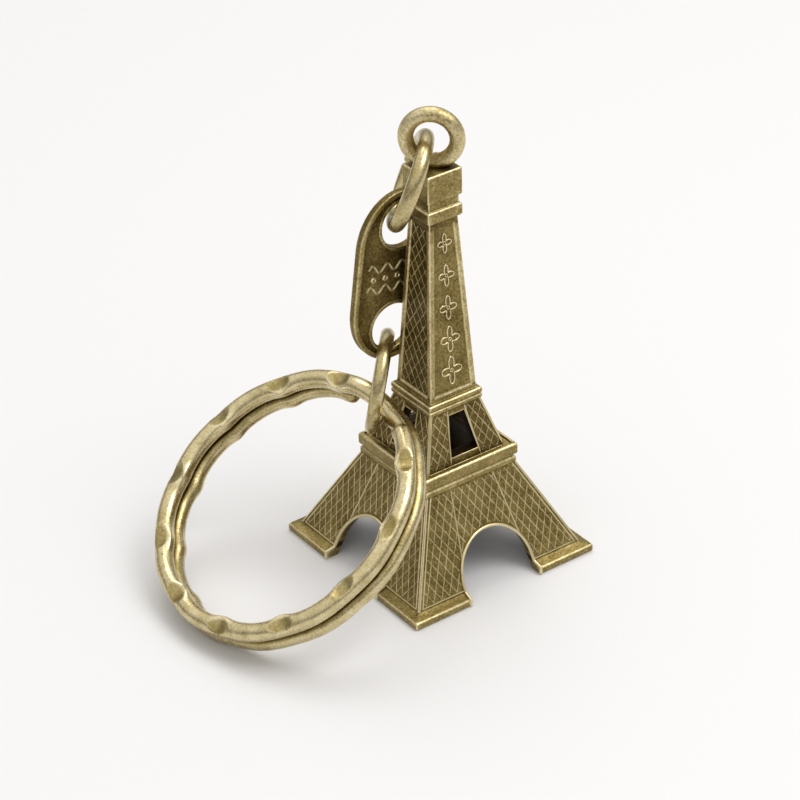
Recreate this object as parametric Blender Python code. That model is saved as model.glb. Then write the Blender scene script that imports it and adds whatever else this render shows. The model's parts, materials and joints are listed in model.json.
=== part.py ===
"""Metal keychain: a hollow cast tower with an eye on top, a chain of two open
jump rings with a pierced tag between them, and a two-turn split ring.

The tower stands on its four feet on the plane z = 0. Its axis is vertical and
its faces look along +-X and +-Y. The chain hangs on the corner of the tower
that points to -X +Y, and the split ring leans on the ground beside it.
"""

import math

import bmesh
import bpy
from mathutils import Matrix, Vector

MM = 0.001

# Tower: half widths of its square section and heights
TOWER_AXIS = Vector((9.104, -2.164, 0.0)) * MM
BASE_HALF = 11.0 * MM
PLINTH_HALF = 11.09 * MM
PLINTH_TOP = 0.88 * MM
ANKLE_HALF = 10.05 * MM
ANKLE_HEIGHT = 1.10 * MM
DECK_UNDER_HALF = 5.50 * MM
DECK_UNDER = 10.29 * MM
DECK_HALF = 5.71 * MM
DECK_TOP = 12.47 * MM
STAGE_HALF = 4.60 * MM
STAGE_TOP_HALF = 3.06 * MM
STAGE_TOP = 17.60 * MM
BAND_HALF = 3.25 * MM
BAND_TOP = 18.76 * MM
COLUMN_HALF = 2.82 * MM
COLUMN_TOP_HALF = 1.70 * MM
COLLAR_HALF = 2.05 * MM
COLLAR_UNDER = 38.00 * MM
COLLAR_TOP = 39.26 * MM
NECK_HALF = 1.80 * MM
BLOCK_HALF = 2.05 * MM
BLOCK_UNDER = 40.23 * MM
BLOCK_TOP = 43.09 * MM
STEP = 0.10 * MM
DECK_BEVEL = 0.40 * MM
BAND_BEVEL = 0.30 * MM

# Openings of the tower; the walls are thicker across where they slope more
WALL = 1.20 * MM
BASE_WALL = 0.80 * MM
ANKLE_WALL = 1.68 * MM
DECK_WALL = 1.56 * MM
HOLLOW_TOP = 17.20 * MM
BELOW_GROUND = -1.0 * MM
ARCH_RADIUS = 4.20 * MM
ARCH_CENTRE = 1.54 * MM
FOOT_GAP_HALF = 4.30 * MM
WINDOW_SILL = 12.95 * MM
WINDOW_HEAD = 17.00 * MM
WINDOW_SILL_HALF = 1.65 * MM
WINDOW_HEAD_HALF = 0.95 * MM
ARCH_STEPS = 20
EYE_STEPS = 40

# Eye on the tower, standing across the corners that point to -X +Y and +X -Y
EYE_RADIUS = 2.47 * MM
EYE_WIRE = 0.76 * MM
EYE_CENTRE = TOWER_AXIS + Vector((0.0, 0.0, 45.95)) * MM
EYE_ACROSS = Vector((1.0, 1.0, 0.0)).normalized()

# Jump rings: open rings of round wire, named by the place of their centre, by
# the compass angle and the upward tilt of the way that they face, and by the
# angle from their top at which they were cut
UPPER_WIRE = 0.78 * MM
UPPER_RADIUS = 4.40 * MM
UPPER_CENTRE = TOWER_AXIS + Vector((-1.438, 1.571, 41.255)) * MM
UPPER_FACING = (140.8, 21.0)
UPPER_CUT = 262.0
LOWER_WIRE = 0.70 * MM
LOWER_RADIUS = 4.59 * MM
LOWER_CENTRE = TOWER_AXIS + Vector((-5.022, 2.555, 19.812)) * MM
LOWER_FACING = (138.9, 9.7)
LOWER_CUT = 152.0
CUT_GAP = 0.35 * MM
RING_STEPS = 48
WIRE_SIDES = 10

# Tag: a flat plate between the two jump rings
TAG_CENTRE = TOWER_AXIS + Vector((-2.295, 3.205, 30.653)) * MM
TAG_YAW = -0.2
TAG_LEAN = 7.25
TAG_TILT = 0.96
TAG_THICKNESS = 0.80 * MM
TAG_HALF_WIDTH = 4.85 * MM
TAG_STRAIGHT = 3.35 * MM
TAG_END = 5.74 * MM
TAG_HOLE = 2.44 * MM
TAG_HOLE_OFFSET = 5.52 * MM
TAG_STEPS = 24

# Split ring: two turns of round wire, with a step from one turn to the next
SPLIT_CENTRE = TOWER_AXIS + Vector((-17.258, 2.141, 10.672)) * MM
SPLIT_NORMAL = Vector((-0.5912, -0.0301, 0.8060)).normalized()
SPLIT_RADIUS = 13.77 * MM
SPLIT_WIRE = 0.94 * MM
SPLIT_PITCH = 1.96 * MM
SPLIT_START = 25.0
STEP_START = 350.0
STEP_END = 378.0
SPLIT_END = 704.0
SPLIT_STEPS = 110

BRONZE = (0.36, 0.29, 0.14, 1.0)
PALE_BRONZE = (0.52, 0.43, 0.24, 1.0)


def clear_scene():
    for obj in list(bpy.data.objects):
        bpy.data.objects.remove(obj, do_unlink=True)


def metal(name, colour, roughness):
    material = bpy.data.materials.new(name)
    material.use_nodes = True
    shader = material.node_tree.nodes["Principled BSDF"]
    shader.inputs["Base Color"].default_value = colour
    shader.inputs["Metallic"].default_value = 1.0
    shader.inputs["Roughness"].default_value = roughness
    return material


def make_object(name, mesh_data, pivot, material):
    """Links a mesh built in world coordinates, with its origin moved to the pivot."""
    bmesh.ops.translate(mesh_data, verts=mesh_data.verts, vec=-pivot)
    bmesh.ops.recalc_face_normals(mesh_data, faces=mesh_data.faces)
    mesh = bpy.data.meshes.new(name)
    mesh_data.to_mesh(mesh)
    mesh_data.free()
    mesh.shade_smooth()
    mesh.set_sharp_from_angle(angle=math.radians(35))
    obj = bpy.data.objects.new(name, mesh)
    obj.location = pivot
    bpy.context.scene.collection.objects.link(obj)
    if material:
        obj.data.materials.append(material)
    return obj


def combine(target, other, operation):
    """Applies a Boolean with another object to the target, as a live modifier."""
    modifier = target.modifiers.new(other.name, "BOOLEAN")
    modifier.object = other
    modifier.operation = operation
    modifier.solver = "EXACT"
    other.hide_render = True
    other.display_type = "WIRE"


def square_stack(levels):
    """A closed solid of square sections, from (half width, height) pairs."""
    data = bmesh.new()
    rings = []
    for half, height in levels:
        corners = ((-half, -half), (half, -half), (half, half), (-half, half))
        rings.append([data.verts.new(TOWER_AXIS + Vector((x, y, height))) for x, y in corners])
    for low, high in zip(rings, rings[1:]):
        for i in range(4):
            j = (i + 1) % 4
            data.faces.new((low[i], low[j], high[j], high[i]))
    data.faces.new(rings[0][::-1])
    data.faces.new(rings[-1])
    return data


def prism_through(outline, turn):
    """A prism of an (across, height) outline, right through the tower, turned about its axis."""
    data = bmesh.new()
    reach = BASE_HALF * 1.5
    rotation = Matrix.Rotation(turn, 4, "Z")
    near = [data.verts.new(TOWER_AXIS + rotation @ Vector((x, -reach, z))) for x, z in outline]
    far = [data.verts.new(TOWER_AXIS + rotation @ Vector((x, reach, z))) for x, z in outline]
    data.faces.new(near)
    data.faces.new(far[::-1])
    for i in range(len(outline)):
        j = (i + 1) % len(outline)
        data.faces.new((near[i], near[j], far[j], far[i]))
    return data


def wire_arc(frame, radius, wire, start, end, steps, side_step=None):
    """Round wire along an arc, with flat ends. frame is (centre, up, side, normal) and the
    angles run from up towards side. side_step gives the shift along the normal at an angle."""
    centre, up, side, normal = frame
    data = bmesh.new()
    closed = abs(end - start - 360.0) < 1e-6
    count = steps if closed else steps + 1
    sections = []
    for i in range(count):
        angle = math.radians(start + (end - start) * i / steps)
        outward = up * math.cos(angle) + side * math.sin(angle)
        middle = centre + outward * radius
        if side_step:
            middle += normal * side_step(math.degrees(angle))
        section = []
        for k in range(WIRE_SIDES):
            turn = 2 * math.pi * k / WIRE_SIDES
            spoke = outward * math.cos(turn) + normal * math.sin(turn)
            section.append(data.verts.new(middle + spoke * wire))
        sections.append(section)
    pairs = list(zip(sections, sections[1:]))
    if closed:
        pairs.append((sections[-1], sections[0]))
    for one, two in pairs:
        for k in range(WIRE_SIDES):
            m = (k + 1) % WIRE_SIDES
            data.faces.new((one[k], two[k], two[m], one[m]))
    if not closed:
        data.faces.new(sections[0])
        data.faces.new(sections[-1][::-1])
    return data


def ring_frame(centre, facing):
    """Centre, highest direction, sideways direction and normal of a ring facing a compass angle."""
    azimuth, tilt = (math.radians(value) for value in facing)
    level = Vector((math.cos(azimuth), math.sin(azimuth), 0.0))
    normal = level * math.cos(tilt) + Vector((0.0, 0.0, math.sin(tilt)))
    side = Vector((0.0, 0.0, 1.0)).cross(normal).normalized()
    return centre, normal.cross(side), side, normal


def tower():
    body = make_object(
        "tower",
        square_stack([
            (BASE_HALF, 0.0),
            (PLINTH_HALF, PLINTH_TOP),
            (ANKLE_HALF, ANKLE_HEIGHT),
            (DECK_UNDER_HALF, DECK_UNDER),
            (DECK_HALF, DECK_UNDER + DECK_BEVEL),
            (DECK_HALF, DECK_TOP),
            (STAGE_HALF, DECK_TOP + STEP),
            (STAGE_TOP_HALF, STAGE_TOP),
            (BAND_HALF, STAGE_TOP + BAND_BEVEL),
            (BAND_HALF, BAND_TOP),
            (COLUMN_HALF, BAND_TOP + STEP),
            (COLUMN_TOP_HALF, COLLAR_UNDER - STEP),
            (COLLAR_HALF, COLLAR_UNDER),
            (COLLAR_HALF, COLLAR_TOP),
            (NECK_HALF, COLLAR_TOP + STEP),
            (NECK_HALF, BLOCK_UNDER - STEP),
            (BLOCK_HALF, BLOCK_UNDER),
            (BLOCK_HALF, BLOCK_TOP),
        ]),
        TOWER_AXIS,
        metal("aged_bronze", BRONZE, 0.42),
    )
    hollow = make_object(
        "tower_hollow",
        square_stack([
            (BASE_HALF - BASE_WALL, BELOW_GROUND),
            (ANKLE_HALF - ANKLE_WALL, ANKLE_HEIGHT),
            (DECK_UNDER_HALF - DECK_WALL, DECK_UNDER),
            (STAGE_HALF - WALL, DECK_TOP),
            (STAGE_TOP_HALF - WALL, HOLLOW_TOP),
        ]),
        TOWER_AXIS,
        None,
    )
    combine(body, hollow, "DIFFERENCE")
    arch = [
        (-FOOT_GAP_HALF, BELOW_GROUND),
        (FOOT_GAP_HALF, BELOW_GROUND),
        (FOOT_GAP_HALF, PLINTH_TOP),
    ]
    for i in range(ARCH_STEPS + 1):
        angle = math.pi * i / ARCH_STEPS
        arch.append((ARCH_RADIUS * math.cos(angle), ARCH_CENTRE + ARCH_RADIUS * math.sin(angle)))
    arch.append((-FOOT_GAP_HALF, PLINTH_TOP))
    window = [
        (-WINDOW_SILL_HALF, WINDOW_SILL),
        (WINDOW_SILL_HALF, WINDOW_SILL),
        (WINDOW_HEAD_HALF, WINDOW_HEAD),
        (-WINDOW_HEAD_HALF, WINDOW_HEAD),
    ]
    for name, outline in (("arch", arch), ("window", window)):
        for way, turn in (("front", 0.0), ("side", math.pi / 2)):
            cutter = make_object(f"{name}_{way}_cutter", prism_through(outline, turn), TOWER_AXIS, None)
            combine(body, cutter, "DIFFERENCE")
    across = EYE_ACROSS
    up = Vector((0.0, 0.0, 1.0))
    frame = (EYE_CENTRE, up, across.cross(up), across)
    eye = make_object(
        "eye_ring", wire_arc(frame, EYE_RADIUS, EYE_WIRE, 0.0, 360.0, EYE_STEPS), EYE_CENTRE, None
    )
    combine(body, eye, "UNION")
    return body


def jump_ring(name, centre, facing, radius, wire, cut, pivot):
    frame = ring_frame(centre, facing)
    half_gap = math.degrees(CUT_GAP / radius) / 2
    data = wire_arc(frame, radius, wire, cut + half_gap, cut + 360.0 - half_gap, RING_STEPS)
    return make_object(name, data, pivot, metal(name + "_wire", PALE_BRONZE, 0.30))


def tag_axes():
    """Across, along and through directions of the tag."""
    yaw, lean, tilt = (math.radians(value) for value in (TAG_YAW, TAG_LEAN, TAG_TILT))
    level = Vector((math.cos(yaw), math.sin(yaw), 0.0))
    away = Vector((-math.sin(yaw), math.cos(yaw), 0.0))
    rise = Vector((0.0, 0.0, 1.0)) * math.cos(tilt) - away * math.sin(tilt)
    through = rise.cross(level)
    across = level * math.cos(lean) - rise * math.sin(lean)
    along = rise * math.cos(lean) + level * math.sin(lean)
    return across, along, through


def plate(outline, thickness, axes, centre):
    """A flat plate of an (across, along) outline, centred on the tag's own plane."""
    across, along, through = axes
    data = bmesh.new()
    faces = []
    for depth in (-thickness / 2, thickness / 2):
        loop = [data.verts.new(centre + across * u + along * v + through * depth) for u, v in outline]
        faces.append(loop)
    data.faces.new(faces[0])
    data.faces.new(faces[1][::-1])
    for i in range(len(outline)):
        j = (i + 1) % len(outline)
        data.faces.new((faces[0][i], faces[0][j], faces[1][j], faces[1][i]))
    return data


def tag(pivot):
    axes = tag_axes()
    outline = []
    for end in (1, -1):
        for i in range(TAG_STEPS + 1):
            angle = math.pi * i / TAG_STEPS
            outline.append((
                end * TAG_HALF_WIDTH * math.cos(angle),
                end * (TAG_STRAIGHT + TAG_END * math.sin(angle)),
            ))
    body = make_object(
        "tag", plate(outline, TAG_THICKNESS, axes, TAG_CENTRE), pivot, metal("tag_metal", BRONZE, 0.38)
    )
    for name, offset in (("upper_hole_cutter", TAG_HOLE_OFFSET), ("lower_hole_cutter", -TAG_HOLE_OFFSET)):
        circle = []
        for i in range(2 * TAG_STEPS):
            angle = math.pi * i / TAG_STEPS
            circle.append((TAG_HOLE * math.cos(angle), TAG_HOLE * math.sin(angle)))
        centre = TAG_CENTRE + axes[1] * offset
        cutter = make_object(name, plate(circle, 3 * TAG_THICKNESS, axes, centre), pivot, None)
        combine(body, cutter, "DIFFERENCE")
    return body


def split_ring(pivot):
    up = (Vector((0.0, 0.0, 1.0)) - SPLIT_NORMAL * SPLIT_NORMAL.z).normalized()
    side = up.cross(SPLIT_NORMAL)

    def shift(angle):
        share = min(max((angle - STEP_START) / (STEP_END - STEP_START), 0.0), 1.0)
        return -SPLIT_PITCH * share * share * (3.0 - 2.0 * share)

    frame = (SPLIT_CENTRE, up, side, SPLIT_NORMAL)
    data = wire_arc(frame, SPLIT_RADIUS, SPLIT_WIRE, SPLIT_START, SPLIT_END, SPLIT_STEPS, shift)
    return make_object("split_ring", data, pivot, metal("split_ring_wire", PALE_BRONZE, 0.28))


def main():
    clear_scene()
    tower()
    jump_ring("upper_jump_ring", UPPER_CENTRE, UPPER_FACING, UPPER_RADIUS, UPPER_WIRE, UPPER_CUT, EYE_CENTRE)
    along = tag_axes()[1]
    tag(TAG_CENTRE + along * TAG_HOLE_OFFSET)
    jump_ring(
        "lower_jump_ring", LOWER_CENTRE, LOWER_FACING, LOWER_RADIUS, LOWER_WIRE, LOWER_CUT,
        TAG_CENTRE - along * TAG_HOLE_OFFSET,
    )
    split_ring(LOWER_CENTRE)


main()
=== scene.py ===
import json
import math

import bmesh
import bpy
from mathutils import Matrix, Vector


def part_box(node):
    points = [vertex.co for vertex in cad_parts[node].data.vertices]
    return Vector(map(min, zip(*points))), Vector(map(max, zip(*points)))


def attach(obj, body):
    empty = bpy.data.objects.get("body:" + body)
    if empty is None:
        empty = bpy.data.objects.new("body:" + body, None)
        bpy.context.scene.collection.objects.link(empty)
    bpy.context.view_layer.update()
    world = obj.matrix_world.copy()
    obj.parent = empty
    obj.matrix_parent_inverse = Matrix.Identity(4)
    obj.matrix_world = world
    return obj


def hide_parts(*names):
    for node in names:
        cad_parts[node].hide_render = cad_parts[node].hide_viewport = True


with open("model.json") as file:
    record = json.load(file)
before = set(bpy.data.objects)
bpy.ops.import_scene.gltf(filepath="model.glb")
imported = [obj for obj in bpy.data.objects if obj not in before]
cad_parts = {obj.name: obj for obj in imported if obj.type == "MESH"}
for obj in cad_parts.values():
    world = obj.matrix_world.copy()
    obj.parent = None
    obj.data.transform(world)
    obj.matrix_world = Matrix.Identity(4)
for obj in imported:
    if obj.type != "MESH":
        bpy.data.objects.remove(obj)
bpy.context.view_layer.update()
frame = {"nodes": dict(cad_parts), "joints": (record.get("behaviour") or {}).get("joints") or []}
print("frame loaded:", ", ".join(sorted(frame["nodes"])))

mm = 0.001
touching = 0.0001 * mm
upward = Vector((0.0, 0.0, 1.0))
towerLow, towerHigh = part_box("tower")
towerAxis = Vector(((towerLow.x + towerHigh.x) / 2, (towerLow.y + towerHigh.y) / 2, 0.0))
swings = {joint["name"]: joint for joint in frame["joints"]}


def pivotOf(name):
    joint = swings[name]
    return Vector(joint["pos_m"]), Vector(joint["axis"]).normalized()


def meshFrom(data, name):
    bmesh.ops.recalc_face_normals(data, faces=data.faces)
    mesh = bpy.data.meshes.new(name)
    data.to_mesh(mesh)
    data.free()
    return mesh


def place(mesh, name):
    obj = bpy.data.objects.new(name, mesh)
    bpy.context.scene.collection.objects.link(obj)
    return obj


def frozen(obj, name):
    # the evaluated shape as a plain mesh; the working object goes
    bpy.context.view_layer.update()
    evaluated = obj.evaluated_get(bpy.context.evaluated_depsgraph_get())
    mesh = bpy.data.meshes.new_from_object(evaluated)
    mesh.name = name
    bpy.data.objects.remove(obj)
    return mesh


def prism(outline, spot, low, high):
    # a closed prism of a flat (x, y) outline between two heights of its own frame
    data = bmesh.new()
    bottom = [data.verts.new(spot @ Vector((x, y, low))) for x, y in outline]
    top = [data.verts.new(spot @ Vector((x, y, high))) for x, y in outline]
    data.faces.new(bottom[::-1])
    data.faces.new(top)
    for i in range(len(outline)):
        j = (i + 1) % len(outline)
        data.faces.new((bottom[i], bottom[j], top[j], top[i]))
    return data


def carve(obj, cutters):
    for cutter in cutters:
        modifier = obj.modifiers.new(cutter.name, "BOOLEAN")
        modifier.object = cutter
        modifier.operation = "DIFFERENCE"
        modifier.solver = "EXACT"


def soften(obj, width, segments=2, angle=28):
    modifier = obj.modifiers.new("soft edges", "BEVEL")
    modifier.width = width
    modifier.segments = segments
    modifier.limit_method = "ANGLE"
    modifier.angle_limit = math.radians(angle)
    modifier.use_clamp_overlap = True


def join(parts, name, material, sharpAngle=40):
    # one mesh from several closed ones; "rub" says how bright each is rubbed and how dark it is painted as
    # shade, as a number or as a rule that takes a face and one of its corners
    data = bmesh.new()
    rub = data.loops.layers.float.new("rub")
    done = 0
    for mesh, rule in parts:
        data.from_mesh(mesh)
        bpy.data.meshes.remove(mesh)
        data.faces.ensure_lookup_table()
        for face in data.faces[done:]:
            face.material_index = 0
            face.smooth = True
            for corner in face.loops:
                corner[rub] = rule(data, face, corner.vert) if callable(rule) else rule
        done = len(data.faces)
    joined = bpy.data.meshes.new(name)
    data.to_mesh(joined)
    data.free()
    joined.materials.clear()
    joined.materials.append(material)
    joined.set_sharp_from_angle(angle=math.radians(sharpAngle))
    return place(joined, name)


def addInput(tree, name, kind, value=None):
    socket = tree.interface.new_socket(name, in_out="INPUT", socket_type=kind)
    if value is not None:
        socket.default_value = value
    return socket.identifier


def wireTree():
    # sweeps a round section along every chain of edges; "thick" scales it from point to point
    tree = bpy.data.node_groups.new("wireAlongPath", "GeometryNodeTree")
    ids = {
        "path": addInput(tree, "Path", "NodeSocketGeometry"),
        "radius": addInput(tree, "Radius", "NodeSocketFloat", 0.0001),
        "sides": addInput(tree, "Sides", "NodeSocketInt", 12),
        "uneven": addInput(tree, "Uneven", "NodeSocketFloat", 0.0),
        "seed": addInput(tree, "Seed", "NodeSocketInt", 1),
        "material": addInput(tree, "Material", "NodeSocketMaterial"),
    }
    tree.interface.new_socket("Geometry", in_out="OUTPUT", socket_type="NodeSocketGeometry")
    nodes, links = tree.nodes, tree.links
    given = nodes.new("NodeGroupInput")
    result = nodes.new("NodeGroupOutput")
    curve = nodes.new("GeometryNodeMeshToCurve")
    section = nodes.new("GeometryNodeCurvePrimitiveCircle")
    thick = nodes.new("GeometryNodeInputNamedAttribute")
    thick.data_type = "FLOAT"
    thick.inputs["Name"].default_value = "thick"
    chance = nodes.new("FunctionNodeRandomValue")
    chance.data_type = "FLOAT"
    leastChance, mostChance = chance.inputs[2], chance.inputs[3]
    least = nodes.new("ShaderNodeMath")
    least.operation = "SUBTRACT"
    least.inputs[0].default_value = 1.0
    scaled = nodes.new("ShaderNodeMath")
    scaled.operation = "MULTIPLY"
    sweep = nodes.new("GeometryNodeCurveToMesh")
    sweep.inputs["Fill Caps"].default_value = True
    smooth = nodes.new("GeometryNodeSetShadeSmooth")
    real = nodes.new("GeometryNodeRealizeInstances")
    paint = nodes.new("GeometryNodeSetMaterial")
    links.new(given.outputs["Path"], curve.inputs["Mesh"])
    links.new(given.outputs["Radius"], section.inputs["Radius"])
    links.new(given.outputs["Sides"], section.inputs["Resolution"])
    links.new(given.outputs["Uneven"], least.inputs[1])
    links.new(least.outputs[0], leastChance)
    mostChance.default_value = 1.0
    links.new(given.outputs["Seed"], chance.inputs["Seed"])
    links.new(thick.outputs[0], scaled.inputs[0])
    links.new(chance.outputs[1], scaled.inputs[1])
    links.new(curve.outputs["Curve"], sweep.inputs["Curve"])
    links.new(section.outputs["Curve"], sweep.inputs["Profile Curve"])
    links.new(scaled.outputs[0], sweep.inputs["Scale"])
    links.new(sweep.outputs["Mesh"], smooth.inputs["Geometry"])
    links.new(smooth.outputs["Geometry"], real.inputs["Geometry"])
    links.new(real.outputs["Geometry"], paint.inputs["Geometry"])
    links.new(given.outputs["Material"], paint.inputs["Material"])
    links.new(paint.outputs["Geometry"], result.inputs["Geometry"])
    return tree, ids


wireNodes, wireInputs = wireTree()


def swept(name, paths, radius, sides, material, uneven=0.0, seed=1):
    # paths: lists of (point, thickness); a path whose first and last points meet is closed
    data = bmesh.new()
    thick = data.verts.layers.float.new("thick")
    along = data.verts.layers.float.new("along")
    for path in paths:
        closed = (path[0][0] - path[-1][0]).length < touching
        stops = path[:-1] if closed else path
        chain = []
        for i, (point, share) in enumerate(stops):
            vert = data.verts.new(point)
            vert[thick] = share
            vert[along] = float(i)
            chain.append(vert)
        for one, two in zip(chain, chain[1:]):
            data.edges.new((one, two))
        if closed:
            data.edges.new((chain[-1], chain[0]))
    mesh = bpy.data.meshes.new(name + "Path")
    data.to_mesh(mesh)
    data.free()
    obj = place(mesh, name + "Path")
    modifier = obj.modifiers.new("wire", "NODES")
    modifier.node_group = wireNodes
    modifier[wireInputs["radius"]] = radius
    modifier[wireInputs["sides"]] = sides
    modifier[wireInputs["uneven"]] = uneven
    modifier[wireInputs["seed"]] = seed
    modifier[wireInputs["material"]] = material
    made = frozen(obj, name)
    data = bmesh.new()
    data.from_mesh(made)
    bmesh.ops.recalc_face_normals(data, faces=data.faces)
    data.to_mesh(made)
    data.free()
    return made


def line(start, end, step):
    # a straight path of full thickness, cut into short steps
    count = max(2, round((end - start).length / step))
    return [(start.lerp(end, i / count), 1.0) for i in range(count + 1)]


def agedBronze(name, look):
    # bronze plate: dark patina and painted shade in the hollows, rubbed bright along the edges, fine cast
    # grain all over
    noiseLow, noiseHigh = 0.3, 0.7
    material = bpy.data.materials.new(name)
    material.use_nodes = True
    nodes, links = material.node_tree.nodes, material.node_tree.links
    shader = nodes["Principled BSDF"]
    shader.inputs["Metallic"].default_value = look["metallic"]
    coords = nodes.new("ShaderNodeTexCoord")

    def noise(scale, detail, rough=0.55):
        node = nodes.new("ShaderNodeTexNoise")
        node.inputs["Scale"].default_value = scale
        node.inputs["Detail"].default_value = detail
        node.inputs["Roughness"].default_value = rough
        links.new(coords.outputs["Object"], node.inputs["Vector"])
        return node.outputs["Fac"]

    def combine(operation, first, second, clamp=False):
        node = nodes.new("ShaderNodeMath")
        node.operation = operation
        node.use_clamp = clamp
        for socket, value in zip(node.inputs, (first, second)):
            if isinstance(value, (int, float)):
                socket.default_value = value
            else:
                links.new(value, socket)
        return node.outputs[0]

    def spread(value, low, high, newLow=0.0, newHigh=1.0):
        node = nodes.new("ShaderNodeMapRange")
        node.inputs["From Min"].default_value = low
        node.inputs["From Max"].default_value = high
        node.inputs["To Min"].default_value = newLow
        node.inputs["To Max"].default_value = newHigh
        links.new(value, node.inputs["Value"])
        return node.outputs["Result"]

    def enclosed(distance, inside):
        node = nodes.new("ShaderNodeAmbientOcclusion")
        node.inside = inside
        node.only_local = True
        node.samples = 8
        node.inputs["Distance"].default_value = distance
        return node.outputs["AO"]

    clouds = noise(look["cloudScale"], detail=4)
    grain = noise(look["grainScale"], detail=3, rough=0.7)
    flecks = noise(look["fleckScale"], detail=2, rough=0.6)
    # how enclosed each point is: the hollows get dark patina and painted shade
    openness = enclosed(look["hollowReach"], False)
    hollow = spread(openness, look["hollowLow"], look["hollowHigh"], 1.0, 0.0)
    depth = enclosed(look["edgeReach"], True)
    edge = spread(depth, look["edgeLow"], look["edgeHigh"], 1.0, 0.0)

    # this attribute holds rubbed wear and also painted shade inside the tower and on one face of the column
    rubAndShadeInput = nodes.new("ShaderNodeAttribute")
    rubAndShadeInput.attribute_name = "rub"
    tone = combine("ADD", rubAndShadeInput.outputs["Fac"], look["level"])
    for pattern, share in ((clouds, look["cloudShare"]), (grain, look["grainShare"])):
        swing = spread(pattern, noiseLow, noiseHigh, -1.0, 1.0)
        tone = combine("ADD", tone, combine("MULTIPLY", swing, share))
    # dark patina and painted shade in the hollows
    tone = combine("SUBTRACT", tone, combine("MULTIPLY", hollow, look["hollowShare"]))
    tone = combine("ADD", tone, combine("MULTIPLY", edge, look["edgeShare"]))
    pits = spread(flecks, look["fleckLow"], look["fleckHigh"])
    tone = combine("SUBTRACT", tone, combine("MULTIPLY", pits, look["fleckShare"]), clamp=True)

    ramp = nodes.new("ShaderNodeValToRGB")
    links.new(tone, ramp.inputs["Fac"])
    stops = ramp.color_ramp.elements
    stops[0].position, stops[0].color = 0.0, (*look["deep"], 1.0)
    stops[1].position, stops[1].color = 1.0, (*look["bright"], 1.0)
    for tint in ("dull", "body"):
        stops.new(look[tint + "At"]).color = (*look[tint], 1.0)
    links.new(ramp.outputs["Color"], shader.inputs["Base Color"])

    rough = spread(tone, 0.0, 1.0, look["roughDeep"], look["roughBright"])
    uneven = spread(grain, noiseLow, noiseHigh, -look["roughGrain"], look["roughGrain"])
    links.new(combine("ADD", rough, uneven), shader.inputs["Roughness"])

    fine = combine("MULTIPLY", grain, look["grainHeight"])
    coarse = combine("MULTIPLY", clouds, look["cloudHeight"])
    height = combine("ADD", fine, coarse)
    bump = nodes.new("ShaderNodeBump")
    bump.inputs["Strength"].default_value = look["bump"]
    bump.inputs["Distance"].default_value = look["bumpDepth"]
    links.new(height, bump.inputs["Height"])
    links.new(bump.outputs["Normal"], shader.inputs["Normal"])
    return material


plating = {
    "metallic": 1.0,
    "deep": (0.030, 0.016, 0.005),
    "dull": (0.137, 0.096, 0.028),
    "body": (0.340, 0.266, 0.098),
    "bright": (0.760, 0.655, 0.400),
    "dullAt": 0.30,
    "bodyAt": 0.62,
    "level": 0.44,
    "cloudScale": 420.0,
    "cloudShare": 0.10,
    "grainScale": 4200.0,
    "grainShare": 0.20,
    "fleckScale": 2600.0,
    "fleckShare": 0.25,
    "fleckLow": 0.66,
    "fleckHigh": 0.74,
    "hollowReach": 0.9 * mm,
    "hollowLow": 0.35,
    "hollowHigh": 0.92,
    "hollowShare": 0.42,
    "edgeReach": 0.26 * mm,
    "edgeLow": 0.45,
    "edgeHigh": 0.95,
    "edgeShare": 0.48,
    "roughDeep": 0.60,
    "roughBright": 0.34,
    "roughGrain": 0.06,
    "bump": 0.6,
    "bumpDepth": 0.05 * mm,
    "grainHeight": 0.6,
    "cloudHeight": 1.4,
}
castBronze = agedBronze("castBronze", plating)
# the wire and the split ring take deeper dark patina and painted shade in their hollows, most between the
# coils
wireBronze = agedBronze("wireBronze", {
    **plating, "level": 0.76, "cloudScale": 900.0, "cloudShare": 0.08, "grainShare": 0.09,
    "roughDeep": 0.42, "roughBright": 0.22, "hollowShare": 0.7, "edgeShare": 0.10, "bump": 0.3,
})
hammeredBronze = agedBronze("hammeredBronze", {
    **plating, "level": 0.84, "cloudScale": 700.0, "cloudShare": 0.10, "grainShare": 0.10,
    "roughDeep": 0.44, "roughBright": 0.22, "hollowShare": 0.75, "edgeShare": 0.20,
    "hollowReach": 1.2 * mm, "bump": 0.45,
})
stampedBronze = agedBronze("stampedBronze", {
    **plating, "level": 0.36, "edgeShare": 0.5, "roughBright": 0.30,
})
print("materials made")


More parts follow.
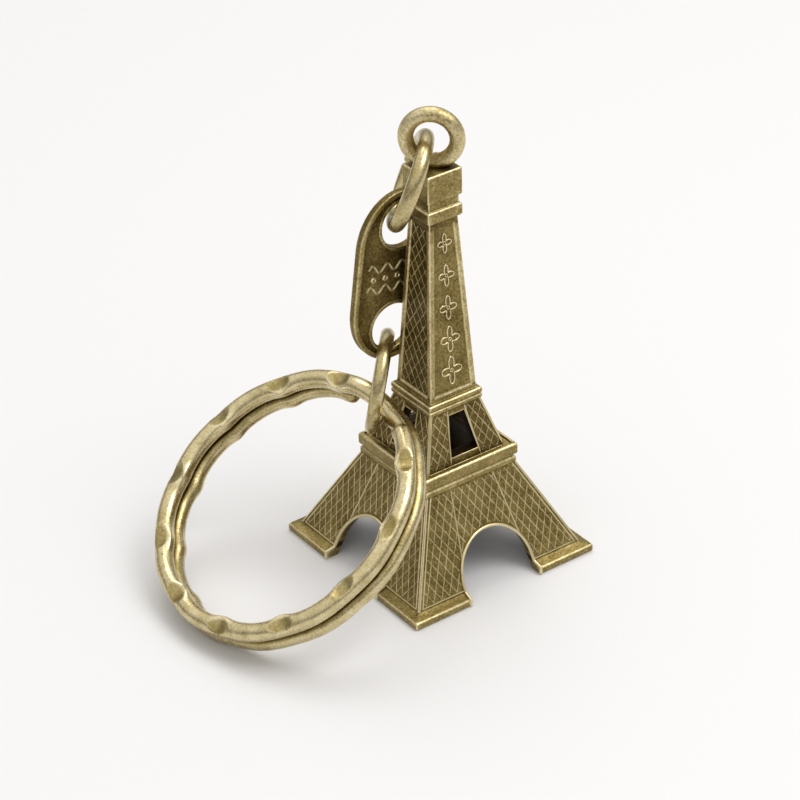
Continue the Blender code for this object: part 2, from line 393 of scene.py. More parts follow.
# millimetres; each pair is a half width and a height, from the floor up
towerShape = {
    "plinth": ((10.96, 0.00), (11.09, 0.13), (11.09, 0.70), (10.92, 0.86), (10.38, 0.95)),
    "legs": ((10.05, 1.10), (5.50, 10.29)),
    "deck": (
        (5.60, 10.34), (5.60, 10.78), (5.44, 10.94), (5.44, 11.16), (5.58, 11.20),
        (5.71, 11.33), (5.71, 12.30), (5.54, 12.47), (5.34, 12.47), (5.28, 12.20),
    ),
    "stage": ((4.71, 12.20), (3.06, 17.60)),
    "cornice": (
        (3.17, 17.62), (3.25, 17.70), (3.25, 17.98), (3.13, 18.08), (3.13, 18.18),
        (3.25, 18.26), (3.25, 18.64), (3.12, 18.77), (2.82, 18.79), (2.80, 19.20),
    ),
    "panels": ((2.79, 19.36), (1.743, 37.20)),
    "columnHead": ((1.733, 37.36), (1.70, 37.98)),
    "collar": ((1.95, 38.00), (2.05, 38.10), (2.05, 39.12), (1.92, 39.26)),
    "neck": ((1.80, 39.28), (1.80, 40.17)),
    "block": ((1.95, 40.19), (2.05, 40.29), (2.05, 42.96), (1.92, 43.09)),
    "column": ((2.82, 18.86), (1.70, 37.90)),      # the plain slope that the panels are sunk in
    "hollow": ((10.20, -1.00), (9.05, 1.10), (4.45, 10.29), (3.40, 12.47), (1.86, 17.20)),
    "window": ((1.65, 12.95), (0.95, 17.00)),
    "panelDepth": 0.14,
    "panelSlope": 0.12,
    "cornerRib": 0.50,
    "cornerCut": 0.09,
    "archRadius": 4.20,
    "archCentre": 1.54,
    "archSteps": 44,
    "footGap": 4.30,
    "plinthTop": 0.88,
    "belowFloor": -1.00,
    "cutReach": 16.0,
    "softEdge": 0.07,
}
towerBands = (
    "plinth", "legs", "deck", "stage", "cornice", "panels", "columnHead", "collar", "neck", "block",
)


def halfAt(z):
    # half width of the sloping face at a height
    for band in ("legs", "stage", "column"):
        (lowHalf, low), (highHalf, high) = towerShape[band]
        if z <= high:
            break
    return lowHalf + (highHalf - lowHalf) * (z - low) / (high - low)


def quarterTurn(side):
    return Matrix.Rotation(side * math.pi / 2, 4, "Z")


def onSide(side, across, out, z):
    # a point of one side, given how far out from the tower's axis it stands
    return towerAxis + quarterTurn(side) @ (Vector((across, -out, z)) * mm)


def onFace(side, across, z, sunk=0.0):
    return onSide(side, across, halfAt(z) - sunk, z)


def towerSection(half, z, sunk):
    # six points a side: a plain corner rib at both ends, a panel between them, the corners cut
    rib, cut = towerShape["cornerRib"], towerShape["cornerCut"]
    panel = rib + towerShape["panelSlope"]
    points = []
    for side in range(4):
        points += [
            onSide(side, cut - half, half, z), onSide(side, rib - half, half, z),
            onSide(side, panel - half, half - sunk, z), onSide(side, half - panel, half - sunk, z),
            onSide(side, half - rib, half, z), onSide(side, half - cut, half, z),
        ]
    return points


def stacked(sections, name):
    # a closed solid through a stack of outlines that have the same number of points
    data = bmesh.new()
    rings = [[data.verts.new(point) for point in section] for section in sections]
    for low, high in zip(rings, rings[1:]):
        for i in range(len(low)):
            j = (i + 1) % len(low)
            data.faces.new((low[i], low[j], high[j], high[i]))
    data.faces.new(rings[0][::-1])
    data.faces.new(rings[-1])
    # the four quads of a flat side become one face, for cleaner cuts
    flat = math.radians(0.5)
    bmesh.ops.dissolve_limit(data, angle_limit=flat, verts=data.verts, edges=data.edges)
    return place(meshFrom(data, name), name)


def towerCore():
    sections = []
    for band in towerBands:
        sunk = towerShape["panelDepth"] if band == "panels" else 0.0
        for half, z in towerShape[band]:
            sections.append(towerSection(half, z, sunk))
    return stacked(sections, "towerCore")


def towerHollow():
    sections = []
    for half, z in towerShape["hollow"]:
        corners = ((-half, -half), (half, -half), (half, half), (-half, half))
        sections.append([towerAxis + Vector((x, y, z)) * mm for x, y in corners])
    return stacked(sections, "hollow")


def upright(side):
    # frame whose x is across a face, y is up and z is through the tower
    axes = Matrix(((1, 0, 0, 0), (0, 0, 1, 0), (0, 1, 0, 0), (0, 0, 0, 1)))
    return Matrix.Translation(towerAxis) @ quarterTurn(side) @ axes @ Matrix.Scale(mm, 4)


def archOutline():
    radius, centre, gap = towerShape["archRadius"], towerShape["archCentre"], towerShape["footGap"]
    bottom, plinthTop, steps = towerShape["belowFloor"], towerShape["plinthTop"], towerShape["archSteps"]
    outline = [(-gap, bottom), (gap, bottom), (gap, plinthTop)]
    for i in range(steps + 1):
        angle = math.pi * i / steps
        outline.append((radius * math.cos(angle), centre + radius * math.sin(angle)))
    outline.append((-gap, plinthTop))
    return outline


def towerCutters():
    cutters = [towerHollow()]
    (sillHalf, sill), (headHalf, head) = towerShape["window"]
    window = [(-sillHalf, sill), (sillHalf, sill), (headHalf, head), (-headHalf, head)]
    reach = towerShape["cutReach"]
    for side in (0, 1):
        for name, outline in (("arch", archOutline()), ("window", window)):
            shape = prism(outline, upright(side), -reach, reach)
            cutters.append(place(meshFrom(shape, name), name + str(side)))
    return cutters


# lines are cast on the faces; span is where their spacing starts and ends, kept is where they show
lattice = {
    "legs": {"span": (1.4, 10.2), "kept": (1.42, 10.15), "edge": 0.58, "rise": 1.66, "slope": 1.75},
    "stage": {"span": (12.3, 17.5), "kept": (12.3, 17.45), "edge": 0.30, "rise": 1.50, "slope": 1.60},
    "column": {"span": (19.5, 37.1), "kept": (19.5, 37.1), "edge": 0.66, "rise": 1.55, "slope": 1.45},
    "archGap": 0.36,
    "windowGap": 0.25,
    "lintel": 0.20,
    "columnSunk": 0.13,
    "past": 1.0,           # how far past a face its lines start
    "look": 0.06,          # how often a line is tested against the openings
    "shortest": 0.30,
    "step": 0.45,
}


def clipped(start, end, keep):
    # the stretches of a line, in face coordinates, where keep() holds
    count = max(2, int(math.dist(start, end) / lattice["look"]))
    runs, run = [], []
    for i in range(count + 1):
        share = i / count
        point = (start[0] + (end[0] - start[0]) * share, start[1] + (end[1] - start[1]) * share)
        if keep(*point):
            run.append(point)
            continue
        if run:
            runs.append((run[0], run[-1]))
        run = []
    if run:
        runs.append((run[0], run[-1]))
    return [pair for pair in runs if math.dist(*pair) > lattice["shortest"]]


def latticeOn(side, band, opening=None, sunk=0.0):
    # two families of slanting lines over one face, clear of its edges and its opening
    (low, high), (bottom, top) = lattice[band]["span"], lattice[band]["kept"]
    slope, rise, edge = lattice[band]["slope"], lattice[band]["rise"], lattice[band]["edge"]
    reach = halfAt(low) + lattice["past"]
    climb = 2 * reach * slope

    def keep(across, z):
        if not bottom < z < top or abs(across) > halfAt(z) - edge:
            return False
        return not (opening and opening(across, z))

    paths = []
    for way in (1, -1):
        for i in range(int((high - low + climb) / rise) + 1):
            base = low - climb + i * rise
            for one, two in clipped((-reach * way, base), (reach * way, base + climb), keep):
                paths.append(line(onFace(side, *one, sunk), onFace(side, *two, sunk), lattice["step"] * mm))
    return paths


def inArch(across, z):
    above = max(z - towerShape["archCentre"], 0.0)
    return math.hypot(across, above) <= towerShape["archRadius"] + lattice["archGap"]


def inWindow(across, z):
    (sillHalf, sill), (headHalf, head) = towerShape["window"]
    if z > head + lattice["lintel"]:
        return False
    jamb = sillHalf + (headHalf - sillHalf) * (z - sill) / (head - sill)
    return abs(across) <= jamb + lattice["windowGap"]


ribs = {
    "corner": ((0.10, 1.14), (0.46, 1.28)),       # how far in from the corner, and where each line starts
    "leaning": ((2.60, 10.25), (3.62, 3.92)),     # from under the deck down to the arch, across and height
    "border": (4.15, 1.28),
    "borderEdge": 0.46,
    "stageCorner": (0.14, 12.2, 17.6),            # how far in, and its two heights
    "jambFoot": (0.16, 12.3),                     # how far outside the window, and its height
    "jambHead": (0.10, 17.5),
    "step": 0.60,
}


def ribOn(side, start, end):
    return line(onFace(side, *start), onFace(side, *end), ribs["step"] * mm)


def legRibs(side):
    # two lines along each corner, and one that leans down to the arch
    paths = []
    (topAcross, top), (lowAcross, low) = ribs["leaning"]
    for way in (-1, 1):
        for inset, foot in ribs["corner"]:
            start = (way * (halfAt(foot) - inset), foot)
            paths.append(ribOn(side, start, (way * (halfAt(top) - inset), top)))
        paths.append(ribOn(side, (way * topAcross, top), (way * lowAcross, low)))
    return paths


def borderLines(side):
    # a level line above the plinth on each foot
    inner, height = ribs["border"]
    outer = halfAt(height) - ribs["borderEdge"]
    return [ribOn(side, (way * inner, height), (way * outer, height)) for way in (-1, 1)]


def stageRibs(side):
    # a line up each corner, and one beside each window jamb
    (sillHalf, _), (headHalf, _) = towerShape["window"]
    inset, foot, head = ribs["stageCorner"]
    (footOut, jambFoot), (headOut, jambHead) = ribs["jambFoot"], ribs["jambHead"]
    paths = []
    for way in (-1, 1):
        start = (way * (halfAt(foot) - inset), foot)
        paths.append(ribOn(side, start, (way * (halfAt(head) - inset), head)))
        start = (way * (sillHalf + footOut), jambFoot)
        paths.append(ribOn(side, start, (way * (headHalf + headOut), jambHead)))
    return paths


rim = {
    "out": 0.10,                                  # how far outside the arch's edge the lip's middle is
    "plinth": (11.02, 0.86),
    "foot": ((0.0, 0.10), (0.0, 0.50), (0.0, 0.84), (-0.08, 1.12)),   # across from the foot's edge, height
    "steps": 56,
}


def archRim(side):
    # the raised lip round an arch, down both feet to the floor
    radius, gap = towerShape["archRadius"] + rim["out"], towerShape["footGap"] + rim["out"]
    (ankleHalf, ankle), (plinthHalf, plinthTop) = towerShape["legs"][0], rim["plinth"]

    def put(across, z):
        share = min((ankle - z) / (ankle - plinthTop), 1.0)
        out = halfAt(z) if share <= 0.0 else ankleHalf + (plinthHalf - ankleHalf) * share
        return onSide(side, across, out, z), 1.0

    foot = [(gap + across, z) for across, z in rim["foot"]]
    path = [put(across, z) for across, z in foot]
    for i in range(rim["steps"] + 1):
        angle = math.pi * i / rim["steps"]
        path.append(put(radius * math.cos(angle), towerShape["archCentre"] + radius * math.sin(angle)))
    path += [put(-across, z) for across, z in reversed(foot)]
    return path


rosette = {
    "low": 21.6, "high": 35.4, "count": 5, "steps": 72,
    "size": (1.20, 0.80), "petal": 0.34, "tall": 1.25,
    "heart": 0.16, "heartWire": 0.8, "sunk": 0.12,
}


def rosettes(side):
    # a row of four-petalled rosettes, each with a small ring at its heart, up one column face
    sunk, tall, heartSize = rosette["sunk"], rosette["tall"], rosette["heart"]
    lowSize, highSize = rosette["size"]
    paths = []
    for k in range(rosette["count"]):
        share = k / (rosette["count"] - 1)
        middle = rosette["low"] + (rosette["high"] - rosette["low"]) * share
        size = lowSize + (highSize - lowSize) * share
        petals, heart = [], []
        for i in range(rosette["steps"] + 1):
            turn = 2 * math.pi * i / rosette["steps"]
            reach = size * (1.0 - rosette["petal"] + rosette["petal"] * math.cos(4 * turn))
            across, rise = math.cos(turn), math.sin(turn)
            petals.append((onFace(side, reach * across, middle + tall * reach * rise, sunk), 1.0))
            spot = onFace(side, heartSize * across, middle + heartSize * rise, sunk)
            heart.append((spot, rosette["heartWire"]))
        paths += [petals, heart]
    return paths


# how much brighter (or duller) than the plain casting each part of it is: rubbed wear, and painted shade
# inside the hollow tower and on the panels of the face turned from the lamps
rubbedAndShaded = {
    # painted shade inside the hollow casting, where little light reaches
    "hollow": -0.45,
    "shadedInsideStage": -0.65,
    "ledge": 0.06,
    "edge": 0.40,
    "columnRib": 0.22,
    # painted shade on the column panels of the face turned from the lamps
    "shadedPanel": -0.20,
    "band": 0.12,
    "stage": -0.06,
    "eye": 0.36,
}


# heights between which each rule of coreRub holds
zones = {
    "inside": (-0.1, 17.4),
    "deckTop": (12.1, 12.5),
    "ledge": (0.80, 1.15),
    "panels": (19.3, 37.2),
    "bands": ((-0.1, 1.05), (10.3, 12.5), (17.55, 19.2), (37.9, 43.2)),
    "stageFoot": 12.2,
}


# how its faces are told apart: depths in millimetres, slants as shares of a face's normal
faceTests = {
    "ledgeHalf": 10.30,
    "wall": 0.55,
    "narrow": 0.25,
    "ribSkin": 0.04,
    "panelSkin": 0.30,
    "slant": (0.25, 0.97),
    "corner": 0.35,
}


def coreRub(data, face, vert):
    # the inside is painted dark as shade, and so are the column panels of the face turned from the lamps;
    # the cut corners, the narrow slopes and the column's ribs are rubbed bright
    local = (face.calc_center_median() - towerAxis) / mm
    reach = max(abs(local.x), abs(local.y))
    outer = halfAt(local.z) if local.z > zones["ledge"][1] else faceTests["ledgeHalf"]

    def within(zone, value=local.z):
        return zone[0] < value < zone[1]

    # painted shade inside the hollow tower, darker in the stage than in the legs
    if within(zones["inside"]) and reach < outer - faceTests["wall"] and not within(zones["deckTop"]):
        return rubbedAndShaded["shadedInsideStage"] if local.z > zones["stageFoot"] else rubbedAndShaded["hollow"]
    if within(zones["ledge"]):
        return rubbedAndShaded["ledge"]
    heights = [corner.co.z for corner in face.verts]
    narrow = max(heights) - min(heights) < faceTests["narrow"] * mm
    slanted = narrow and within(faceTests["slant"], face.normal.z)
    cornerFace = min(abs(face.normal.x), abs(face.normal.y)) > faceTests["corner"]
    if slanted or cornerFace:
        return rubbedAndShaded["edge"]
    if within(zones["panels"]):
        if reach > outer - faceTests["ribSkin"]:
            return rubbedAndShaded["columnRib"]
        # painted shade on the panels of the face at -x, which is turned from the lamps
        return rubbedAndShaded["shadedPanel"] if local.x < faceTests["panelSkin"] - outer else 0.0
    if any(within(band) for band in zones["bands"]):
        return rubbedAndShaded["band"]
    return rubbedAndShaded["stage"] if local.z > zones["stageFoot"] else 0.0


eye = {"radius": 2.47 * mm, "wire": 0.76 * mm, "steps": 96, "sides": 28}

# each kind of line: radius in millimetres, sides, unevenness, seed, rub
lineWork = {
    "lattice": (0.050, 5, 0.45, 7, 0.08),
    "columnLattice": (0.050, 5, 0.45, 8, -0.10),
    "ribs": (0.085, 8, 0.25, 3, 0.20),
    "borders": (0.080, 6, 0.20, 5, 0.22),
    "rims": (0.170, 10, 0.05, 4, 0.16),
    "rosettes": (0.080, 6, 0.15, 9, 0.08),
}


def eyeLoop():
    centre, axis = pivotOf("upper_link_swing")
    sideways = upward.cross(axis).normalized()
    loop = []
    for i in range(eye["steps"] + 1):
        angle = 2 * math.pi * i / eye["steps"]
        spoke = upward * math.cos(angle) + sideways * math.sin(angle)
        loop.append((centre + spoke * eye["radius"], 1.0))
    return loop


def makeTower():
    core = towerCore()
    cutters = towerCutters()
    carve(core, cutters)
    soften(core, towerShape["softEdge"] * mm)
    parts = [(frozen(core, "towerCore"), coreRub)]
    for cutter in cutters:
        bpy.data.objects.remove(cutter)
    paths = {name: [] for name in lineWork}
    for side in range(4):
        paths["lattice"] += latticeOn(side, "legs", inArch) + latticeOn(side, "stage", inWindow)
        paths["ribs"] += legRibs(side) + stageRibs(side)
        paths["borders"] += borderLines(side)
        paths["rims"].append(archRim(side))
        if side == 0:
            paths["rosettes"] += rosettes(side)
        else:
            paths["columnLattice"] += latticeOn(side, "column", sunk=lattice["columnSunk"])
    for name, (radius, sides, uneven, seed, rub) in lineWork.items():
        mesh = swept(name, paths[name], radius * mm, sides, castBronze, uneven, seed)
        parts.append((mesh, rub))
    parts.append((swept("eye", [eyeLoop()], eye["wire"], eye["sides"], castBronze), rubbedAndShaded["eye"]))
    tower = join(parts, "towerCharm", castBronze)
    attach(tower, "tower")
    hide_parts("tower")


makeTower()
print("tower made")


def ringAxes(azimuth, tilt):
    # up and across in the ring's plane, and the ring's axis
    level = Vector((math.cos(azimuth), math.sin(azimuth), 0.0))
    normal = level * math.cos(tilt) + upward * math.sin(tilt)
    side = upward.cross(normal).normalized()
    return normal.cross(side), side, normal


upperRing = {
    "centre": (-1.438, 1.571, 41.255), "azimuth": 140.8, "tilt": 21.0,
    "radius": 4.40, "wire": 0.78, "cut": 262.0,
}
lowerRing = {
    "centre": (-5.022, 2.555, 19.812), "azimuth": 138.9, "tilt": 9.7,
    "radius": 4.59, "wire": 0.70, "cut": 152.0,
}
jumpRing = {"gap": 0.35, "steps": 200, "sides": 28, "endTaper": (0.86, 0.97)}


def tapered(step, count, taper):
    # the wire's thickness at a step: the ends are rounded over the first few
    fromEnd = min(step, count - step)
    return taper[fromEnd] if fromEnd < len(taper) else 1.0


def makeJumpRing(name, ring, body, node):
    centre = towerAxis + Vector(ring["centre"]) * mm
    high, side, _ = ringAxes(math.radians(ring["azimuth"]), math.radians(ring["tilt"]))
    halfGap = math.degrees(jumpRing["gap"] / ring["radius"]) / 2
    start, end = ring["cut"] + halfGap, ring["cut"] + 360.0 - halfGap
    count = jumpRing["steps"]
    path = []
    for i in range(count + 1):
        angle = math.radians(start + (end - start) * i / count)
        spoke = high * math.cos(angle) + side * math.sin(angle)
        path.append((centre + spoke * ring["radius"] * mm, tapered(i, count, jumpRing["endTaper"])))
    mesh = swept(name, [path], ring["wire"] * mm, jumpRing["sides"], wireBronze)
    obj = join([(mesh, 0.0)], name, wireBronze)
    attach(obj, body)
    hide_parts(node)


makeJumpRing("upperJumpRing", upperRing, "upper_link", "upper_jump_ring")
makeJumpRing("lowerJumpRing", lowerRing, "lower_link", "lower_jump_ring")
print("jump rings made")


tagShape = {
    "halfWidth": 4.85, "straight": 3.35, "end": 5.74, "thickness": 0.80,
    "hole": 2.44, "collar": 0.36, "rim": 0.55, "field": 0.15, "softEdge": 0.11,
    "endSteps": 40, "holeSteps": 64, "rimRub": 0.22, "lineRub": 0.20,
    "waveReach": 3.5, "waveHeight": 0.42, "waveLength": 1.75, "waveFromMiddle": 1.15,
    "waveSteps": 80, "waveWire": 0.12,
    "dots": 5, "dotPitch": 1.4, "dotRadius": 0.22, "dotSteps": 12, "dotWire": 0.11,
    "lineSides": 8, "lineSunk": 0.01, "rimSkin": 0.06,
    "clear": 1.0, "holeReach": 2.0,               # how far the cutters reach past what they cut
}


def tagOutline(inset):
    points = []
    for end in (1, -1):
        for i in range(tagShape["endSteps"] + 1):
            angle = math.pi * i / tagShape["endSteps"]
            across = (tagShape["halfWidth"] - inset) * math.cos(angle)
            along = tagShape["straight"] + (tagShape["end"] - inset) * math.sin(angle)
            points.append((end * across, end * along))
    return points


def circle(radius, middle, steps):
    # points round a circle whose middle is at (across, along)
    points = []
    for i in range(steps):
        angle = 2 * math.pi * i / steps
        points.append((middle[0] + radius * math.cos(angle), middle[1] + radius * math.sin(angle)))
    return points


def tagField(spot, low, high, holes):
    # the cutter for one face's sunken field, which stays clear of the rim and the holes
    def slab(outline, below, above, name):
        return place(meshFrom(prism(outline, spot, below, above), name), name)

    field = slab(tagOutline(tagShape["rim"]), low, high, "field")
    collars = []
    for hole in holes:
        outline = circle(tagShape["hole"] + tagShape["collar"], hole, tagShape["holeSteps"])
        collars.append(slab(outline, low - tagShape["clear"], high + tagShape["clear"], "collar"))
    carve(field, collars)
    cut = place(frozen(field, "field"), "field")
    for collar in collars:
        bpy.data.objects.remove(collar)
    return cut


def tagLines(spot, depth):
    # two wavy lines with a row of small rings between them, on one face
    waves, dots = [], []
    reach, steps = tagShape["waveReach"], tagShape["waveSteps"]
    for row in (tagShape["waveFromMiddle"], -tagShape["waveFromMiddle"]):
        wave = []
        for i in range(steps + 1):
            across = 2 * reach * i / steps - reach
            swing = math.sin(2 * math.pi * across / tagShape["waveLength"])
            wave.append((spot @ Vector((across, row + tagShape["waveHeight"] * swing, depth)), 1.0))
        waves.append(wave)
    for k in range(tagShape["dots"]):
        middle = ((k - (tagShape["dots"] - 1) / 2) * tagShape["dotPitch"], 0.0)
        ring = circle(tagShape["dotRadius"], middle, tagShape["dotSteps"])
        ring.append(ring[0])
        dots.append([(spot @ Vector((*point, depth)), 1.0) for point in ring])
    return waves, dots


def makeTag():
    upperHole, through = pivotOf("tag_swing")
    lowerHole, _ = pivotOf("lower_link_swing")
    along = (upperHole - lowerHole).normalized()
    across = through.cross(along)
    offset = (upperHole - lowerHole).length / 2 / mm
    axes = Matrix((across, along, through)).transposed().to_4x4()
    spot = Matrix.Translation((upperHole + lowerHole) / 2) @ axes @ Matrix.Scale(mm, 4)
    flat = spot.inverted()
    holes = ((0.0, offset), (0.0, -offset))
    half = tagShape["thickness"] / 2

    def plateRub(data, face, vert):
        onRim = abs((flat @ face.calc_center_median()).z) > half - tagShape["rimSkin"]
        return tagShape["rimRub"] if onRim else 0.0

    plate = place(meshFrom(prism(tagOutline(0.0), spot, -half, half), "plate"), "plate")
    cutters, waves, dots = [], [], []
    for way in (-1, 1):
        low, high = sorted((way * (half - tagShape["field"]), way * (half + tagShape["clear"])))
        cutters.append(tagField(spot, low, high, holes))
        faceWaves, faceDots = tagLines(spot, way * (half - tagShape["field"] - tagShape["lineSunk"]))
        waves += faceWaves
        dots += faceDots
    for hole in holes:
        outline = circle(tagShape["hole"], hole, tagShape["holeSteps"])
        shape = prism(outline, spot, -tagShape["holeReach"], tagShape["holeReach"])
        cutters.append(place(meshFrom(shape, "hole"), "hole"))
    carve(plate, cutters)
    soften(plate, tagShape["softEdge"] * mm, segments=3)
    parts = [(frozen(plate, "plate"), plateRub)]
    for cutter in cutters:
        bpy.data.objects.remove(cutter)
    waveWire, dotWire = tagShape["waveWire"] * mm, tagShape["dotWire"] * mm
    sides = tagShape["lineSides"]
    waveMesh = swept("waves", waves, waveWire, sides, stampedBronze, uneven=0.1, seed=2)
    dotMesh = swept("dots", dots, dotWire, sides, stampedBronze)
    parts += [(waveMesh, tagShape["lineRub"]), (dotMesh, tagShape["lineRub"])]
    tag = join(parts, "stampedTag", stampedBronze)
    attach(tag, "tag")
    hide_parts("tag")


makeTag()
print("tag made")


splitRing = {
    "centre": (-17.258, 2.141, 10.672), "normal": (-0.5912, -0.0301, 0.8060),
    "radius": 13.77, "wire": 0.94, "pitch": 1.96,
    "start": 25.0, "stepStart": 350.0, "stepEnd": 378.0, "end": 708.0,     # degrees along the wire
    "steps": 1000, "sides": 44, "endTaper": (0.45, 0.72, 0.87, 0.95, 0.99),
    "hollowsPerTurn": 12, "hollowPhase": 14.0, "hollowDepth": 0.36, "hollowLength": 1.35,
    "hollowUneven": 0.16, "hollowLean": 0.10, "leanUneven": 0.20,
    "unevenBeat": 2.3, "leanBeat": 1.7, "nearby": 0.79, "grazing": 0.05,
    "lip": 0.15, "lipAt": 62.0, "lipWidth": 17.0,
    "bulge": 0.19, "bulgeAt": 95.0, "bulgeWidth": 48.0,
    "kink": 0.055, "bent": 0.4, "bentBeat": 5.0,
    "hollowRub": -0.20, "hollowFull": 0.10, "lipRub": 0.20, "lipFull": 0.06,
}


def onSplitRing(angle):
    # the wire's middle at an angle along it, and the outward direction there
    high, side, normal = splitRingAxes
    stepLength = splitRing["stepEnd"] - splitRing["stepStart"]
    share = min(max((angle - splitRing["stepStart"]) / stepLength, 0.0), 1.0)
    shift = -splitRing["pitch"] * share * share * (3.0 - 2.0 * share)
    turn = math.radians(angle)
    outward = high * math.cos(turn) + side * math.sin(turn)
    beat = math.cos((turn - math.radians(splitRing["hollowPhase"])) * splitRing["hollowsPerTurn"])
    bend = beat + splitRing["bent"] * math.sin(turn * splitRing["bentBeat"])
    radius = splitRing["radius"] - splitRing["kink"] * bend
    centre = towerAxis + Vector(splitRing["centre"]) * mm
    return centre + (outward * radius + normal * shift) * mm, outward


def hollowRub(data, face, vert):
    # dull in the struck spots, bright on the lip pushed up beside each
    cut = vert[data.verts.layers.float["cut"]] / mm
    if cut > 0.0:
        return splitRing["hollowRub"] * min(1.0, cut / splitRing["hollowFull"])
    return splitRing["lipRub"] * min(1.0, -cut / splitRing["lipFull"])


def hill(value, middle, width):
    return math.exp(-((value - middle) / width) ** 2)


def hammer(mesh):
    # flattens an oval spot on the outward face of each turn at even steps round the ring, and
    # pushes the wire out into a lip beside it and a bulge on its inner side
    start, end = splitRing["start"], splitRing["end"]
    stepMiddle = (splitRing["stepStart"] + splitRing["stepEnd"]) / 2
    normal = splitRingAxes[2]
    wire = splitRing["wire"] * mm
    pitch = 360.0 / splitRing["hollowsPerTurn"]
    reach = splitRing["hollowLength"] / splitRing["radius"]
    marks = mesh.attributes["along"].data
    cuts = mesh.attributes.new("cut", "FLOAT", "POINT").data
    for vert, mark, cut in zip(mesh.vertices, marks, cuts):
        angle = start + (end - start) * mark.value / splitRing["steps"]
        axis, outward = onSplitRing(angle)
        spoke = vert.co - axis
        radius = spoke.length
        if radius < touching:
            continue
        face = 1.0 if angle < stepMiddle else -1.0
        index = round((angle - splitRing["hollowPhase"]) / pitch)
        away = math.radians(angle - splitRing["hollowPhase"] - index * pitch) / reach
        uneven = 1.0 + splitRing["hollowUneven"] * math.sin(index * splitRing["unevenBeat"] + face)
        depth = splitRing["hollowDepth"] * mm * uneven * max(0.0, 1.0 - away * away)
        lean = splitRing["hollowLean"]
        lean += splitRing["leanUneven"] * math.sin(index * splitRing["leanBeat"])
        aim = (normal * face + outward * lean).normalized()
        aside = (outward - aim * outward.dot(aim)).normalized()
        ray = spoke.normalized()
        facing = ray.dot(aim)
        turned = math.degrees(math.atan2(-ray.dot(aside), facing))
        near = hill(away, 0.0, splitRing["nearby"]) * mm
        lip = splitRing["lip"] * hill(turned, splitRing["lipAt"], splitRing["lipWidth"]) * near
        bulge = splitRing["bulge"] * hill(turned, splitRing["bulgeAt"], splitRing["bulgeWidth"]) * near
        radius += lip + bulge
        cut.value = -lip
        if facing > splitRing["grazing"] and (wire - depth) / facing < radius:
            cut.value = min(radius, wire) - (wire - depth) / facing
            radius = (wire - depth) / facing
        vert.co = axis + ray * radius


def makeSplitRing():
    start, end, count = splitRing["start"], splitRing["end"], splitRing["steps"]
    path = []
    for i in range(count + 1):
        middle, _ = onSplitRing(start + (end - start) * i / count)
        path.append((middle, tapered(i, count, splitRing["endTaper"])))
    mesh = swept("splitRing", [path], splitRing["wire"] * mm, splitRing["sides"], hammeredBronze)
    hammer(mesh)
    obj = join([(mesh, hollowRub)], "splitRing", hammeredBronze)
    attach(obj, "key_ring")
    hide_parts("split_ring")


ringNormal = Vector(splitRing["normal"]).normalized()
ringHigh = (upward - ringNormal * ringNormal.z).normalized()
splitRingAxes = (ringHigh, ringHigh.cross(ringNormal), ringNormal)
makeSplitRing()
print("split ring made")


studio = {
    "floor": (0.70, 0.693, 0.693), "floorRough": 0.65, "floorReach": 3.0,
    "sky": (1.0, 0.99, 0.975),
    "skyStrength": 0.98,
    "skySteps": ((0.0, 0.34), (0.26, 0.42), (0.55, 1.0), (1.0, 1.08)),   # how high it looks, brightness
    "key": 1.0, "keySize": 0.30, "keyFrom": (0.15, -0.20, 0.45),
    "top": 0.60, "topSize": 0.30, "topFrom": (0.12, 0.20, 0.50),
    "aim": (0.0, 0.0, 0.02),
}


def makeFloor():
    data = bmesh.new()
    reach = studio["floorReach"]
    corners = ((-reach, -reach), (reach, -reach), (reach, reach), (-reach, reach))
    data.faces.new([data.verts.new((x, y, 0.0)) for x, y in corners])
    floor = place(meshFrom(data, "floor"), "floor")
    paper = bpy.data.materials.new("paper")
    paper.use_nodes = True
    shader = paper.node_tree.nodes["Principled BSDF"]
    shader.inputs["Base Color"].default_value = (*studio["floor"], 1.0)
    shader.inputs["Roughness"].default_value = studio["floorRough"]
    floor.data.materials.append(paper)


def makeLamp(name, power, size, spot, aim):
    lamp = bpy.data.lights.new(name, "AREA")
    lamp.shape = "DISK"
    lamp.size = size
    lamp.energy = power
    obj = bpy.data.objects.new(name, lamp)
    obj.location = spot
    obj.rotation_mode = "QUATERNION"
    obj.rotation_quaternion = (Vector(spot) - aim).to_track_quat("Z", "Y")
    bpy.context.scene.collection.objects.link(obj)


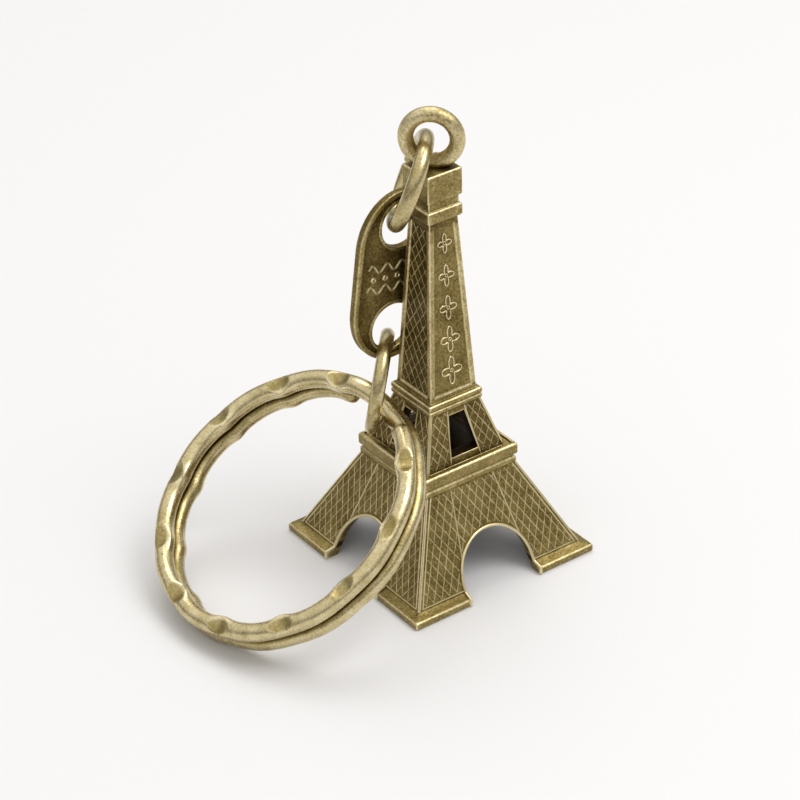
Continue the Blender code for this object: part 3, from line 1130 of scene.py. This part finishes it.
def makeStudio():
    aim = Vector(studio["aim"])
    makeLamp("keyLamp", studio["key"], studio["keySize"], studio["keyFrom"], aim)
    makeLamp("topLamp", studio["top"], studio["topSize"], studio["topFrom"], aim)
    world = bpy.data.worlds.new("studio")
    bpy.context.scene.world = world
    world.use_nodes = True
    nodes, links = world.node_tree.nodes, world.node_tree.links
    background = nodes["Background"]
    background.inputs["Strength"].default_value = studio["skyStrength"]
    direction = nodes.new("ShaderNodeTexCoord")
    split = nodes.new("ShaderNodeSeparateXYZ")
    ramp = nodes.new("ShaderNodeValToRGB")
    links.new(direction.outputs["Generated"], split.inputs["Vector"])
    links.new(split.outputs["Z"], ramp.inputs["Fac"])
    links.new(ramp.outputs["Color"], background.inputs["Color"])
    stops = ramp.color_ramp.elements
    for _ in studio["skySteps"][2:]:
        stops.new(0.5)
    for stop, (position, share) in zip(stops, studio["skySteps"]):
        stop.position = position
        stop.color = (*(channel * share for channel in studio["sky"]), 1.0)
    bpy.context.scene.view_settings.view_transform = "Standard"


cameraView = {
    "azimuth": -35.30, "elevation": 32.43, "roll": -1.63,
    "distance": 287.2, "aim": (-4.46, 0.0, 18.64), "lens": 132.2,
    "sensor": 36.0, "nearest": 0.01, "farthest": 10.0,
}


def makeCamera():
    azimuth = math.radians(cameraView["azimuth"])
    elevation = math.radians(cameraView["elevation"])
    roll = math.radians(cameraView["roll"])
    outward = Vector((math.sin(azimuth), -math.cos(azimuth), 0.0))
    back = outward * math.cos(elevation) + upward * math.sin(elevation)
    level = Vector((math.cos(azimuth), math.sin(azimuth), 0.0))
    rise = back.cross(level)
    right = level * math.cos(roll) + rise * math.sin(roll)
    top = rise * math.cos(roll) - level * math.sin(roll)
    camera = bpy.data.objects.new("camera", bpy.data.cameras.new("camera"))
    camera.data.lens = cameraView["lens"]
    camera.data.sensor_width = cameraView["sensor"]
    camera.data.clip_start = cameraView["nearest"]
    camera.data.clip_end = cameraView["farthest"]
    turn = Matrix((right, top, back)).transposed().to_4x4()
    spot = towerAxis + Vector(cameraView["aim"]) * mm + back * cameraView["distance"] * mm
    camera.matrix_world = Matrix.Translation(spot) @ turn
    bpy.context.scene.collection.objects.link(camera)
    bpy.context.scene.camera = camera


makeFloor()
makeStudio()
makeCamera()
print("studio ready")
